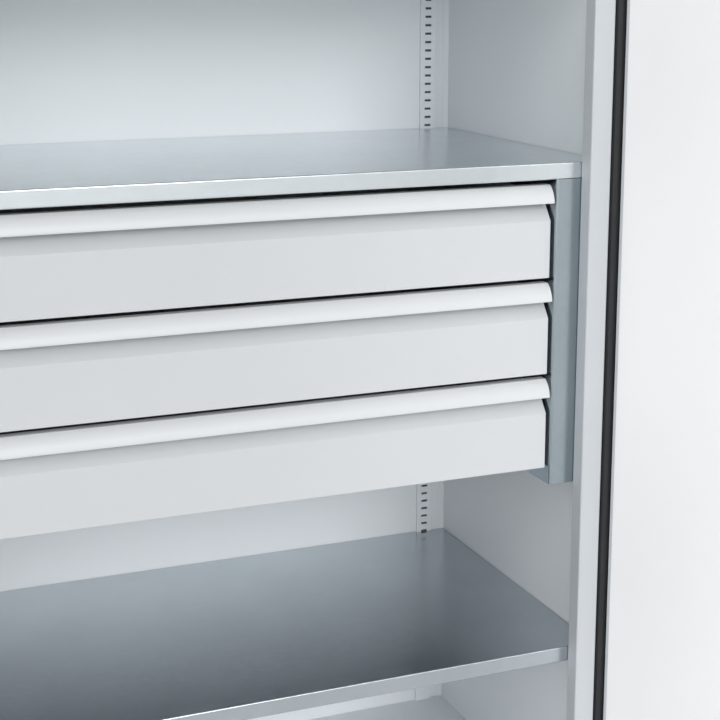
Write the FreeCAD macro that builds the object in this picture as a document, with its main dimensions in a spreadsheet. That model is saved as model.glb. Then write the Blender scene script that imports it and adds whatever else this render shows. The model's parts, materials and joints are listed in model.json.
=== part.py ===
import FreeCAD, Part
import math
import os
from types import SimpleNamespace

import Sketcher

# Heavy-duty storage cabinet with two hinged doors, three drawers and galvanised shelves.
# Millimetres, +Z up. The origin is on the floor, in the middle of the width and of the body's depth.
# The front faces -Y. The doors stand open, the drawers are pushed in.

SIZES = {
    "width": 1200,
    "depth": 600,
    "height": 1950,
    "base_height": 100,
    "cap_height": 40,
    "rail_height": 50,
    "skin_gauge": 1.2,
    "liner_gauge": 1.0,
    "frame_gauge": 2.0,
    "base_gauge": 1.5,
    "shelf_gauge": 1.25,
    "side_depth": 14.8,
    "back_gap": 5.5,
    "rear_fold": 12,
    "corner_flange": 10.7,
    "lip_width": 6.7,
    "channel_width": 19.3,
    "channel_depth": 8,
    "post_face": 34.5,
    "post_return": 28.5,
    "post_bend": 3,
    "rail_upstand": 45,
    "strip_width": 30,
    "strip_depth": 5,
    "strip_inset": 27.8,
    "strip_gauge": 1.25,
    "slot_pitch": 15,
    "slot_width": 12,
    "slot_height": 4,
    "slot_floor_gap": 111.7,
    "seal_ridge": 10.8,
    "seal_inner_edge": 8.4,
    "seal_outer_edge": 8.1,
    "seal_play": 0.2,
    "shelf_height": 25,
    "shelf_fold": 12,
    "shelf_play": 1,
    "shelf_bend": 2,
    "notch_play": 1,
    "clip_rise": 1.7,
    "rows_per_step": 4,
    "lower_shelf_step": 4,
    "upper_shelf_step": 23,
    "middle_shelf_row": 68,
    "middle_shelf_rise": 5.7,
    "clip_width": 10,
    "clip_reach": 16,
    "clip_gauge": 2,
    "clip_drop": 24,
    "hook_depth": 3,
    "hook_height": 3,
    "carrier_inner": 498.6,
    "carrier_outer": 575,
    "carrier_height": 476,
    "carrier_gauge": 2,
    "carrier_bend": 4,
    "tie_height": 30,
    "tie_depth": 18,
    "tie_setback": 2,
    "drawer_pitch": 150,
    "drawer_length": 500,
    "drawer_gauge": 1.5,
    "tray_gauge": 1,
    "handle_drop": 34,
    "handle_lip_height": 26.5,
    "handle_lip_flat": 2.5,
    "handle_gauge": 2.2,
    "handle_front": 26.6,
    "handle_crest": 42,
    "handle_arc": 34,
    "front_end_play": 4,
    "recess_depth": 55,
    "recess_height": 31,
    "bend_height": 54.5,
    "front_height": 142,
    "front_face": 37.7,
    "tray_top_drop": 11,
    "tray_side_gap": 14.6,
    "slide_height": 46,
    "slide_depth": 12.1,
    "slide_gauge": 1.5,
    "slide_play": 0.3,
    "slide_rise": 40,
    "middle_shortfall": 20,
    "middle_depth": 9.3,
    "inner_depth": 10.5,
    "door_gap": 3.5,
    "door_depth": 22,
    "door_meeting": 1.5,
    "door_play": 3,
    "door_fold": 15,
    "door_bend": 2.5,
    "inner_edge": 8,
    "door_open": 105,
    "cap_lip": 1.5,
    "pivot_inset": 6,
    "pivot_setback": 9,
    "pin_radius": 3,
    "pin_fit": 0.1,
    "pin_plate_length": 40,
    "pin_plate_gauge": 4,
    "bush_side": 8.6,
    "bush_flange_side": 11.6,
    "bush_length": 12,
    "bush_play": 0.3,
    "lock_inset": 58.5,
    "lock_height": 1050,
    "lever_length": 115,
    "lever_width": 18,
    "lever_bevel": 3,
    "lever_gauge": 11,
    "lever_standoff": 24,
    "hub_radius": 11,
    "shaft_radius": 5,
    "turning_play": 0.3,
    "escutcheon_width": 38,
    "escutcheon_top": 30,
    "escutcheon_bottom": 100,
    "escutcheon_depth": 6,
    "cylinder_drop": 68,
    "cylinder_radius": 8,
    "cylinder_proud": 2,
    "cutout_play": 4,
    "cylinder_length": 20,
    "cam_width": 11,
    "cam_gauge": 3,
    "cam_standoff": 6,
    "peg_orbit": 14,
    "peg_radius": 3,
    "peg_play": 0.6,
    "rod_width": 12,
    "rod_gauge": 3,
    "rod_play": 0.6,
    "rod_end_gap": 6,
    "eye_width": 20,
    "eye_height": 16,
    "case_width": 68,
    "case_height": 96,
    "case_depth": 18,
    "case_gauge": 1.5,
    "guide_width": 24,
    "guide_height": 15,
    "guide_wall": 2,
    "guide_inset": 150,
    "guide_spacing": 350,
    "astragal_width": 36,
    "astragal_gauge": 1.5,
    "astragal_play": 0.3,
    "astragal_inset": 30,
    "crossmember_width": 60,
    "crossmember_flange": 15,
    "base_flange": 25,
}


class Size:
    """A length with its value and the formula that says it in the sheet."""

    def __init__(self, value, formula):
        self.value = float(value)
        self.formula = formula

    def __add__(self, other):
        other = as_size(other)
        return Size(self.value + other.value, f"({self.formula} + {other.formula})")

    def __sub__(self, other):
        other = as_size(other)
        return Size(self.value - other.value, f"({self.formula} - {other.formula})")

    def __mul__(self, other):
        other = as_size(other)
        return Size(self.value * other.value, f"({self.formula} * {other.formula})")

    def __truediv__(self, other):
        other = as_size(other)
        return Size(self.value / other.value, f"({self.formula} / {other.formula})")

    def __neg__(self):
        return Size(-self.value, f"(0 - {self.formula})")

    __radd__ = __add__
    __rmul__ = __mul__

    def __rsub__(self, other):
        return as_size(other) - self


def as_size(number):
    """A Size stays as it is, and a plain number becomes one."""
    if isinstance(number, Size):
        return number
    return Size(number, repr(float(number)))


doc = FreeCAD.newDocument("storage_cabinet")
sheet = doc.addObject("Spreadsheet::Sheet", "sizes")
for row, (alias, number) in enumerate(SIZES.items(), start=1):
    sheet.set(f"A{row}", alias)
    sheet.set(f"B{row}", str(number))
    sheet.setAlias(f"B{row}", alias)
doc.recompute()
d = SimpleNamespace(**{alias: Size(sheet.get(alias), f"sizes.{alias}") for alias in SIZES})
nodes = []

PLANE_AXES = {"XY": 2, "YZ": 0, "XZ": 1}


def bind(item, prop, length):
    """Sets a property by its formula."""
    item.setExpression(prop, as_size(length).formula)


def label(item, name):
    """Makes the object a sub-part of the cabinet with a name of its own."""
    item.Label = name
    nodes.append(item)
    return item


def block(name, low, high):
    """A box between its lowest and its highest corner."""
    box = doc.addObject("Part::Box", name)
    for prop, start, end in zip(("Length", "Width", "Height"), low, high):
        bind(box, prop, as_size(end) - start)
    for axis, start in zip("xyz", low):
        bind(box, f"Placement.Base.{axis}", start)
    return box


def group(name, members):
    """Separate solids that share one node."""
    compound = doc.addObject("Part::Compound", name)
    compound.Links = members
    return compound


def new_body(name):
    return doc.addObject("PartDesign::Body", name)


def plane_offset(plane, position):
    """How far a sketch stands off its plane: the XZ plane faces -Y."""
    return -as_size(position) if plane == "XZ" else as_size(position)


def sketch_on(body, plane, position):
    """An empty sketch on one of the body's own planes, moved to a position along its axis."""
    sketch = body.newObject("Sketcher::SketchObject", f"{body.Name}_sketch")
    origin_plane = next(o for o in body.Origin.OriginFeatures if o.Role == f"{plane}_Plane")
    sketch.AttachmentSupport = [(origin_plane, "")]
    sketch.MapMode = "FlatFace"
    bind(sketch, "AttachmentOffset.Base.z", plane_offset(plane, position))
    return sketch


def pin_point(sketch, curve, end, u, v):
    """Fixes a point of a curve at two distances from the sketch's origin."""
    for kind, length in (("DistanceX", as_size(u)), ("DistanceY", as_size(v))):
        number = sketch.addConstraint(Sketcher.Constraint(kind, -1, 1, curve, end, length.value))
        sketch.setExpression(f"Constraints[{number}]", length.formula)


def arc_middle(start, end, radius, side):
    """The middle of an arc between two points: it bulges to the left of the chord if side is 1."""
    run_u = end[0] - start[0]
    run_v = end[1] - start[1]
    chord = math.hypot(run_u, run_v)
    rise = radius - math.sqrt(radius ** 2 - (chord / 2) ** 2)
    middle_u = (start[0] + end[0]) / 2 - side * run_v / chord * rise
    middle_v = (start[1] + end[1]) / 2 + side * run_u / chord * rise
    return FreeCAD.Vector(middle_u, middle_v, 0)


def draw_loop(sketch, loop, arcs=None):
    """Draws a closed outline. arcs gives a radius and a side to the stretch after a point's number."""
    arcs = arcs or {}
    first = sketch.GeometryCount
    count = len(loop)
    corners = [(as_size(u).value, as_size(v).value) for u, v in loop]
    for i in range(count):
        start = corners[i]
        end = corners[(i + 1) % count]
        if i in arcs:
            radius, side = arcs[i]
            middle = arc_middle(start, end, radius.value, side)
            curve = Part.Arc(FreeCAD.Vector(*start, 0), middle, FreeCAD.Vector(*end, 0))
        else:
            curve = Part.LineSegment(FreeCAD.Vector(*start, 0), FreeCAD.Vector(*end, 0))
        sketch.addGeometry(curve, False)
    ends = []
    for i in range(count):
        ends.append(arc_ends(sketch, first + i, corners[i]) if i in arcs else (1, 2))
    for i in range(count):
        following = (i + 1) % count
        sketch.addConstraint(
            Sketcher.Constraint("Coincident", first + i, ends[i][1], first + following, ends[following][0])
        )
        pin_point(sketch, first + i, ends[i][0], *loop[i])
    for i, (radius, side) in arcs.items():
        number = sketch.addConstraint(Sketcher.Constraint("Radius", first + i, radius.value))
        sketch.setExpression(f"Constraints[{number}]", radius.formula)


def arc_ends(sketch, curve, start):
    """Which of an arc's ends lies at its start: the sketch always keeps arcs anticlockwise."""
    found = sketch.getPoint(curve, 1)
    at_start = math.hypot(found.x - start[0], found.y - start[1]) < 0.001
    return (1, 2) if at_start else (2, 1)


def pad(body, plane, loop, start, end, arcs=None):
    """Adds an outline pushed from one position to another along the plane's axis."""
    near = end if plane == "XZ" else start
    sketch = sketch_on(body, plane, near)
    draw_loop(sketch, loop, arcs)
    feature = body.newObject("PartDesign::Pad", f"{body.Name}_pad")
    feature.Profile = sketch
    bind(feature, "Length", as_size(end) - start)
    doc.recompute()
    return feature


def pocket(body, plane, loops, start, end):
    """Cuts outlines out between two positions along the plane's axis."""
    # A pocket runs against the sketch's normal, which is -Y on the XZ plane.
    near = start if plane == "XZ" else end
    sketch = sketch_on(body, plane, near)
    for loop in loops:
        draw_loop(sketch, loop)
    before = body.Shape.Volume
    feature = body.newObject("PartDesign::Pocket", f"{body.Name}_pocket")
    feature.Profile = sketch
    bind(feature, "Length", as_size(end) - start)
    doc.recompute()
    if not body.Shape.Volume < before - 0.1:
        raise RuntimeError(f"the pocket of {body.Name} cuts nothing")
    return feature


def rectangle(u0, v0, u1, v1):
    return [(u0, v0), (u1, v0), (u1, v1), (u0, v1)]


def normal_of(start, end):
    """The unit vector to the left of a stretch."""
    run_u = end[0].value - start[0].value
    run_v = end[1].value - start[1].value
    length = math.hypot(run_u, run_v)
    return -run_v / length, run_u / length


def beside(path, gauge, side):
    """The path moved sideways by the gauge, to its left if side is 1, with mitred bends."""
    normals = [normal_of(path[i], path[i + 1]) for i in range(len(path) - 1)]
    moved = []
    for i, (u, v) in enumerate(path):
        before = normals[max(i - 1, 0)]
        after = normals[min(i, len(normals) - 1)]
        spread = 1 + before[0] * after[0] + before[1] * after[1]
        shift_u = side * (before[0] + after[0]) / spread
        shift_v = side * (before[1] + after[1]) / spread
        moved.append((u + gauge * shift_u, v + gauge * shift_v))
    return moved


def folded_loop(path, gauge, side):
    """The closed outline of a folded sheet whose outer face follows the path."""
    return path + beside(path, gauge, side)[::-1]


def mirrored(points, hand):
    """The points on the right side of the cabinet for hand 1, on the left for -1."""
    return [(u * hand, v) for u, v in points]


def edges_along(shape, plane, points):
    """Names of the edges that run along the plane's axis through the given points."""
    axis = PLANE_AXES[plane]
    kept = [i for i in range(3) if i != axis]
    names = []
    for number, edge in enumerate(shape.Edges, start=1):
        ends = [vertex.Point for vertex in edge.Vertexes]
        if len(ends) != 2 or abs(ends[0][axis] - ends[1][axis]) < 1:
            continue
        for u, v in points:
            offsets = [abs(end[kept[0]] - u.value) + abs(end[kept[1]] - v.value) for end in ends]
            if max(offsets) < 0.01:
                names.append(f"Edge{number}")
    return names


def edges_at_depth(shape, depth):
    """Names and boxes of the edges that lie at one place along Y."""
    found = []
    for number, edge in enumerate(shape.Edges, start=1):
        box = edge.BoundBox
        if abs(box.YMin - depth.value) < 0.01 and abs(box.YMax - depth.value) < 0.01:
            found.append((f"Edge{number}", box))
    return found


def round_edges(body, names, radius):
    """Rounds the named edges of the body's last feature."""
    if not names:
        raise RuntimeError(f"{body.Name} has no such edge to round")
    base = body.Tip
    fillet = body.newObject("PartDesign::Fillet", f"{body.Name}_rounding")
    fillet.Base = (base, names)
    bind(fillet, "Radius", radius)
    doc.recompute()
    return fillet


def round_bends(body, plane, path, gauge, side, radius, bends):
    """Rounds the numbered bends of a folded sheet inside and outside."""
    inner = []
    outer = []
    offset = beside(path, gauge, side)
    for i in bends:
        before = normal_of(path[i - 1], path[i])
        after = normal_of(path[i], path[i + 1])
        turn = before[0] * after[1] - before[1] * after[0]
        path_is_inside = turn * side < 0
        inner.append(path[i] if path_is_inside else offset[i])
        outer.append(offset[i] if path_is_inside else path[i])
    round_edges(body, edges_along(body.Shape, plane, inner), radius)
    round_edges(body, edges_along(body.Shape, plane, outer), radius + gauge)


def folded_sheet(name, plane, path, gauge, side, start, end):
    """A sheet folded along a path and as long as the distance between two positions."""
    body = new_body(name)
    pad(body, plane, folded_loop(path, gauge, side), start, end)
    return body


def hinge_placement(item, hand):
    """Turns a piece of a closed door to where the open door holds it, about the door's pins."""
    turn = d.door_open * hand
    pivot_u = pivot_x * hand
    cosine = f"cos({turn.formula})"
    sine = f"sin({turn.formula})"
    base_x = f"{pivot_u.formula} * (1 - {cosine}) + {pivot_y.formula} * {sine}"
    base_y = f"{pivot_y.formula} * (1 - {cosine}) - {pivot_u.formula} * {sine}"
    item.Placement = FreeCAD.Placement(FreeCAD.Vector(), FreeCAD.Rotation(FreeCAD.Vector(0, 0, 1), 1))
    item.setExpression("Placement.Base.x", base_x)
    item.setExpression("Placement.Base.y", base_y)
    item.setExpression("Placement.Rotation.Angle", turn.formula)
    return item


# Places that the driving sizes give
half = d.width / 2
front = -d.depth / 2
back = d.depth / 2
back_inner = back - d.back_gap
side_inner = half - d.side_depth
lip_inner = half - d.lip_width
channel_inner = lip_inner - d.channel_width
post_inner = channel_inner - d.post_face
channel_floor = front + d.channel_depth
seat_back = channel_floor + d.skin_gauge
post_back = front + d.post_return
door_inner = front - d.door_gap
door_outer = door_inner - d.door_depth
cap_front = door_outer - d.cap_lip
cap_bottom = d.height - d.cap_height
opening_bottom = d.base_height + d.rail_height
opening_top = cap_bottom - d.rail_height
frame_edge_drop = d.lip_width + d.channel_width
posts_bottom = d.base_height + frame_edge_drop
posts_top = cap_bottom - frame_edge_drop
strip_face = back_inner - d.strip_depth
strip_outer = side_inner - d.strip_inset
strip_inner = strip_outer - d.strip_width
strip_middle = (strip_inner + strip_outer) / 2
flange_middle = (post_inner + side_inner) / 2
first_slot = opening_bottom + d.slot_floor_gap
shelf_step = d.rows_per_step * d.slot_pitch
lower_shelf_top = first_slot + shelf_step * d.lower_shelf_step - d.clip_rise
upper_shelf_top = first_slot + shelf_step * d.upper_shelf_step - d.clip_rise
middle_shelf_top = first_slot + d.middle_shelf_row * d.slot_pitch - d.middle_shelf_rise
carrier_top = middle_shelf_top - d.shelf_height
carrier_bottom = carrier_top - d.carrier_height
pivot_x = half - d.pivot_inset
pivot_y = front - d.pivot_setback
door_bottom = d.base_height + d.door_play
door_top = cap_bottom - d.door_play
lock_x = d.door_meeting + d.lock_inset
HANDS = {"left": -1, "right": 1}


# Side walls: an outer skin folded round the front and the rear edge, and an inner liner
def side_panel(side, hand):
    path = mirrored(
        [
            (half - d.rear_fold, back),
            (half, back),
            (half, front),
            (lip_inner, front),
            (lip_inner, seat_back),
        ],
        hand,
    )
    body = folded_sheet(f"side_panel_{side}", "XY", path, d.skin_gauge, -hand, d.base_height, cap_bottom)
    round_bends(body, "XY", path, d.skin_gauge, -hand, d.skin_gauge, (1, 2))
    return label(body, f"side_panel_{side}")


def side_liner(side, hand):
    flange_face = back_inner - d.liner_gauge
    path = mirrored(
        [(side_inner, seat_back), (side_inner, flange_face), (side_inner - d.corner_flange, flange_face)],
        hand,
    )
    name = f"side_liner_{side}"
    return label(folded_sheet(name, "XY", path, d.liner_gauge, -hand, d.base_height, cap_bottom), name)


# A column of slots in a flange that faces along Y
def slot_column(body, middle, low, height, pitch, start, end):
    slot = rectangle(middle - d.slot_width / 2, low, middle + d.slot_width / 2, low + height)
    first = pocket(body, "XZ", [slot], start, end)
    column = body.newObject("PartDesign::LinearPattern", f"{body.Name}_column")
    column.Originals = [first]
    column.Direction = (first.Profile[0], ["V_Axis"])
    column.Mode = "Spacing"
    bind(column, "Offset", pitch)
    room = opening_top - d.slot_floor_gap - low - height / 2
    column.setExpression("Occurrences", f"floor({room.formula} / {pitch.formula}) + 1")
    body.Tip = column
    doc.recompute()


def front_post(side, hand):
    path = mirrored(
        [
            (channel_inner, seat_back),
            (channel_inner, front),
            (post_inner, front),
            (post_inner, post_back),
            (side_inner, post_back),
        ],
        hand,
    )
    body = folded_sheet(f"front_post_{side}", "XY", path, d.frame_gauge, -hand, posts_bottom, posts_top)
    round_bends(body, "XY", path, d.frame_gauge, -hand, d.post_bend - d.frame_gauge, (1, 2, 3))
    # Each tall slot takes both hooks of a shelf clip, one shelf step above the other.
    low = first_slot + d.slot_pitch - d.slot_height / 2
    height = d.slot_pitch + d.slot_height
    slot_column(body, flange_middle * hand, low, height, shelf_step, post_back - d.frame_gauge, post_back)
    return label(body, f"front_post_{side}")


def slot_strip(side, hand):
    path = mirrored(
        [
            (strip_inner, back_inner),
            (strip_inner, strip_face),
            (strip_outer, strip_face),
            (strip_outer, back_inner),
        ],
        hand,
    )
    name = f"slot_strip_{side}"
    body = folded_sheet(name, "XY", path, d.strip_gauge, hand, opening_bottom, opening_top)
    low = first_slot - d.slot_height / 2
    rear = strip_face + d.strip_gauge
    slot_column(body, strip_middle * hand, low, d.slot_height, d.slot_pitch, strip_face, rear)
    return label(body, name)


# Back, ceiling and floor
def back_panel():
    # The bend of the side skin is one gauge round inside, and the back panel stays clear of it.
    edge = half - d.skin_gauge * 2
    fold = back - d.skin_gauge
    path = [(-edge, fold), (-edge, back_inner), (edge, back_inner), (edge, fold)]
    name = "back_panel"
    return label(folded_sheet(name, "XY", path, d.liner_gauge, 1, d.base_height, cap_bottom), name)


def level_panel(name, face, outer, side):
    """A ceiling or floor whose front and rear folds reach the deck behind it."""
    rear = back_inner - d.liner_gauge
    path = [(post_back, outer), (post_back, face), (rear, face), (rear, outer)]
    return label(folded_sheet(name, "YZ", path, d.liner_gauge, side, -side_inner, side_inner), name)


# Front frame
def frame_rail(name, outer, direction):
    """The rail between the posts: direction is 1 at the bottom and -1 at the top."""
    channel = outer + frame_edge_drop * direction
    inner = outer + d.rail_height * direction
    path = [
        (seat_back, channel),
        (front, channel),
        (front, inner),
        (post_back, inner),
        (post_back, inner - d.rail_upstand * direction),
    ]
    body = folded_sheet(name, "YZ", path, d.frame_gauge, -direction, -post_inner, post_inner)
    round_bends(
        body, "YZ", path, d.frame_gauge, -direction, d.post_bend - d.frame_gauge, (1, 2)
    )
    rod_u = lock_x + d.peg_orbit * direction
    hole = rectangle(
        rod_u - d.rod_width / 2 - d.rod_play,
        rod_low_y - d.rod_play,
        rod_u + d.rod_width / 2 + d.rod_play,
        rod_low_y + d.rod_gauge + d.rod_play,
    )
    ends = sorted((inner, inner - d.frame_gauge * direction), key=lambda size: size.value)
    pocket(body, "XY", [hole], *ends)
    return label(body, name)


def seal_seat():
    """Flat seats behind the seal and the lips above and below it."""
    low = d.base_height + d.lip_width
    high = cap_bottom - d.lip_width
    members = []
    for side, hand in HANDS.items():
        ends = sorted((channel_inner * hand, lip_inner * hand), key=lambda size: size.value)
        members.append(
            block(f"seal_seat_{side}", (ends[0], channel_floor, low), (ends[1], seat_back, high))
        )
    for name, start, end in (("bottom", low, posts_bottom), ("top", posts_top, high)):
        members.append(
            block(
                f"seal_seat_{name}",
                (-channel_inner, channel_floor, start),
                (channel_inner, seat_back, end),
            )
        )
    for name, start, end in (("bottom", d.base_height, low), ("top", high, cap_bottom)):
        members.append(block(f"lip_{name}", (-lip_inner, front, start), (lip_inner, seat_back, end)))
    return label(group("seal_seat", members), "seal_seat")


def door_seal():
    """A rubber ring with a ridge all round, made by two chamfers on its front edges."""
    body = new_body("door_seal")
    outer = lip_inner - d.seal_play
    inner = channel_inner + d.seal_play
    low = d.base_height + d.lip_width + d.seal_play
    high = cap_bottom - d.lip_width - d.seal_play
    rise = d.channel_width - d.seal_play * 2
    crest = channel_floor - d.seal_ridge
    pad(body, "XZ", rectangle(-outer, low, outer, high), crest, channel_floor)
    window = rectangle(-inner, low + rise, inner, high - rise)
    pocket(body, "XZ", [window], crest, channel_floor)
    for reach, bound in ((d.seal_outer_edge, outer), (d.seal_inner_edge, inner)):
        names = []
        for name, box in edges_at_depth(body.Shape, crest):
            across = max(abs(box.XMin), abs(box.XMax))
            if abs(across - bound.value) < 0.01:
                names.append(name)
        base = body.Tip
        bevel = body.newObject("PartDesign::Chamfer", "door_seal_bevel")
        bevel.Base = (base, names)
        bevel.ChamferType = "Two distances"
        bind(bevel, "Size", d.seal_ridge - reach)
        bind(bevel, "Size2", rise / 2)
        doc.recompute()
    return label(body, "door_seal")


# Roof and base
def top_cap():
    body = new_body("top_cap")
    pad(body, "XY", rectangle(-half, cap_front, half, back), cap_bottom, d.height)
    wall = d.base_gauge
    hollow = rectangle(-half + wall, cap_front + wall, half - wall, back - wall)
    # The hollow is cut from below, so it ends one gauge under the roof.
    pocket(body, "XY", [hollow], cap_bottom, d.height - wall)
    corners = [(-half, cap_front), (half, cap_front), (half, back), (-half, back)]
    round_edges(body, edges_along(body.Shape, "XY", corners), d.door_bend)
    return label(body, "top_cap")


def deck(name, start, end):
    """A plate under the roof or on the base, with a hole for each pivot bush."""
    body = new_body(name)
    wall = d.base_gauge
    plate = rectangle(-half + wall, cap_front + wall, half - wall, back - wall)
    pad(body, "XY", plate, start, end)
    holes = [square(pivot_x * hand, pivot_y, d.bush_side) for hand in HANDS.values()]
    pocket(body, "XY", holes, start, end)
    return label(body, name)


def base_frame():
    """Four skirts with an inward flange on the floor."""
    wall = d.base_gauge
    members = []
    for name, face, direction in (("front", cap_front, 1), ("rear", back, -1)):
        path = [(face + d.base_flange * direction, as_size(0)), (face, as_size(0)), (face, d.base_height)]
        skirt = folded_sheet(f"skirt_{name}", "YZ", path, wall, -direction, -half, half)
        members.append(skirt)
    for side, hand in HANDS.items():
        path = mirrored([(half - d.base_flange, as_size(0)), (half, as_size(0)), (half, d.base_height)], hand)
        skirt = folded_sheet(
            f"skirt_{side}", "XZ", path, wall, hand, cap_front + wall, back - wall
        )
        members.append(skirt)
    for skirt, hand in zip(members[2:], HANDS.values()):
        # The side skirts stand on the flanges of the front and rear skirts.
        for start, end in (
            (cap_front + wall, cap_front + d.base_flange),
            (back - d.base_flange, back - wall),
        ):
            ends = sorted(((half - d.base_flange) * hand, half * hand), key=lambda size: size.value)
            pocket(skirt, "XY", [rectangle(ends[0], start, ends[1], end)], as_size(0), wall)
    return label(group("base_frame", members), "base_frame")


def base_crossmember():
    """The support under the middle of the base, whose underside stands on the floor."""
    web = d.frame_gauge
    top = d.base_height - d.base_gauge
    leg = d.crossmember_width / 2 - web
    outer = leg + web + d.crossmember_flange
    path = [(-outer, top), (-leg, top), (-leg, web), (leg, web), (leg, top), (outer, top)]
    start = cap_front + d.base_flange
    end = back - d.base_flange
    return label(folded_sheet("base_crossmember", "XZ", path, web, -1, start, end), "base_crossmember")


# Shelves, folded down at the front, the rear and both ends, and notched round the slot strips
def shelf(name, top):
    shelf_front = post_back + d.slide_play
    edge = side_inner - d.shelf_play
    rear = back_inner - d.shelf_play
    low = top - d.shelf_height
    path = [
        (shelf_front + d.shelf_fold, low),
        (shelf_front, low),
        (shelf_front, top),
        (rear, top),
        (rear, low),
        (rear - d.shelf_fold, low),
    ]
    body = folded_sheet(name, "YZ", path, d.shelf_gauge, -1, -edge, edge)
    round_bends(body, "YZ", path, d.shelf_gauge, -1, d.shelf_bend - d.shelf_gauge, (1, 2))
    wall = d.shelf_gauge
    end_loop = rectangle(shelf_front + wall, low, rear - wall, top - wall)
    pad(body, "YZ", end_loop, -edge, -edge + wall)
    pad(body, "YZ", end_loop, edge - wall, edge)
    notches = []
    for hand in HANDS.values():
        ends = sorted(
            ((strip_inner - d.notch_play) * hand, (strip_outer + d.notch_play) * hand),
            key=lambda size: size.value,
        )
        notches.append(rectangle(ends[0], strip_face - d.notch_play, ends[1], rear + 1))
    pocket(body, "XY", notches, low, top)
    return label(body, name)


def shelf_clip(name, middle, face, direction, under):
    """A clip with two hooks in the slots: direction is the way from the slotted face into the cabinet."""
    upper_hook = under + d.shelf_height + d.clip_rise - d.slot_pitch * 2
    outline = [
        (face, under),
        (face + d.clip_reach * direction, under),
        (face + d.clip_reach * direction, under - d.clip_gauge),
        (face + d.clip_gauge * direction, under - d.clip_gauge),
        (face + d.clip_gauge * direction, under - d.clip_drop),
        (face, under - d.clip_drop),
    ]
    for hook in (upper_hook - d.slot_pitch, upper_hook):
        for height, reach in ((-1, 0), (-1, 1), (1, 1), (1, 0)):
            depth = face - d.hook_depth * direction * reach
            outline.append((depth, hook + d.hook_height / 2 * height))
    body = new_body(name)
    pad(body, "YZ", outline, middle - d.clip_width / 2, middle + d.clip_width / 2)
    return body


def shelf_clips():
    members = []
    for level, top in (("upper", upper_shelf_top), ("lower", lower_shelf_top)):
        under = top - d.shelf_height
        for side, hand in HANDS.items():
            name = f"clip_{level}_{side}"
            members.append(shelf_clip(f"{name}_rear", strip_middle * hand, strip_face, -1, under))
            members.append(shelf_clip(f"{name}_front", flange_middle * hand, post_back, 1, under))
    return label(group("shelf_clips", members), "shelf_clips")


# Drawer carriers
def drawer_carrier(side, hand):
    path = mirrored(
        [
            (d.carrier_outer, strip_face),
            (d.carrier_inner, strip_face),
            (d.carrier_inner, post_back),
            (d.carrier_outer, post_back),
        ],
        hand,
    )
    name = f"drawer_carrier_{side}"
    body = folded_sheet(name, "XY", path, d.carrier_gauge, hand, carrier_bottom, carrier_top)
    round_bends(body, "XY", path, d.carrier_gauge, hand, d.carrier_bend - d.carrier_gauge, (2,))
    return label(body, name)


def carrier_ties():
    """Two channels across the back between the carriers."""
    rear = strip_face - d.carrier_bend - d.tie_setback
    members = []
    for name, low in (("lower", carrier_bottom), ("upper", carrier_top - d.tie_height)):
        path = [
            (rear, low),
            (rear - d.tie_depth, low),
            (rear - d.tie_depth, low + d.tie_height),
            (rear, low + d.tie_height),
        ]
        members.append(
            folded_sheet(
                f"tie_{name}", "YZ", path, d.carrier_gauge, -1, -d.carrier_inner, d.carrier_inner
            )
        )
    return label(group("carrier_ties", members), "carrier_ties")


# Drawers
tray_front = front + d.recess_depth + d.drawer_gauge
tray_half = d.carrier_inner - d.tray_side_gap
front_half = d.carrier_inner - d.front_end_play


def drawer_top(level):
    """The top of a drawer's handle, counted from the topmost drawer."""
    return middle_shelf_top - d.handle_drop - d.drawer_pitch * level


def drawer_front(level):
    top = drawer_top(level)
    recess = front + d.recess_depth
    face = front + d.front_face
    low = top - d.front_height
    path = [
        (recess, top - d.handle_gauge),
        (recess, top - d.recess_height),
        (face, top - d.bend_height),
        (face, low),
        (tray_front, low),
    ]
    name = f"drawer_front_{level + 1}"
    body = folded_sheet(name, "YZ", path, d.drawer_gauge, 1, -front_half, front_half)
    cheek = path + [(tray_front, top - d.handle_gauge)]
    for start, end in (
        (-front_half, -front_half + d.drawer_gauge),
        (front_half - d.drawer_gauge, front_half),
    ):
        pad(body, "YZ", cheek, start, end)
    round_edges(body, edges_along(body.Shape, "YZ", path[2:4]), d.drawer_gauge)
    return label(body, name)


def drawer_handle(level):
    """A strip with a rounded top, hooked over the upper edge of the front."""
    top = drawer_top(level)
    lip = front + d.handle_front
    crest = front + d.handle_crest
    shoulder = top - d.handle_lip_height + d.handle_lip_flat
    low = top - d.handle_lip_height
    outline = [
        (tray_front, top),
        (crest, top),
        (lip, shoulder),
        (lip, low),
        (lip + d.handle_gauge, low),
        (lip + d.handle_gauge, shoulder),
        (crest, top - d.handle_gauge),
        (tray_front, top - d.handle_gauge),
    ]
    arcs = {1: (d.handle_arc, -1), 5: (d.handle_arc - d.handle_gauge, 1)}
    name = f"drawer_handle_{level + 1}"
    body = new_body(name)
    pad(body, "YZ", outline, -front_half, front_half, arcs)
    return label(body, name)


def drawer_tray(level):
    top = drawer_top(level) - d.tray_top_drop
    low = drawer_top(level) - d.front_height + d.drawer_gauge
    rear = tray_front + d.drawer_length
    wall = d.tray_gauge
    name = f"drawer_tray_{level + 1}"
    body = new_body(name)
    pad(body, "XY", rectangle(-tray_half, tray_front, tray_half, rear), low, top)
    inside = rectangle(-tray_half + wall, tray_front + wall, tray_half - wall, rear - wall)
    pocket(body, "XY", [inside], low + wall, top)
    return label(body, name)


# Telescopic slides: each member is a channel, nested in the next one
def slide_member(name, hand, web, depth, half_height, middle, start, end):
    """A channel whose web stands at a distance from the middle of the cabinet; depth is its opening."""
    tip = web - depth
    path = mirrored(
        [
            (tip, middle - half_height),
            (web, middle - half_height),
            (web, middle + half_height),
            (tip, middle + half_height),
        ],
        hand,
    )
    side = hand if depth.value > 0 else -hand
    return folded_sheet(name, "XZ", path, d.slide_gauge, side, start, end)


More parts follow.
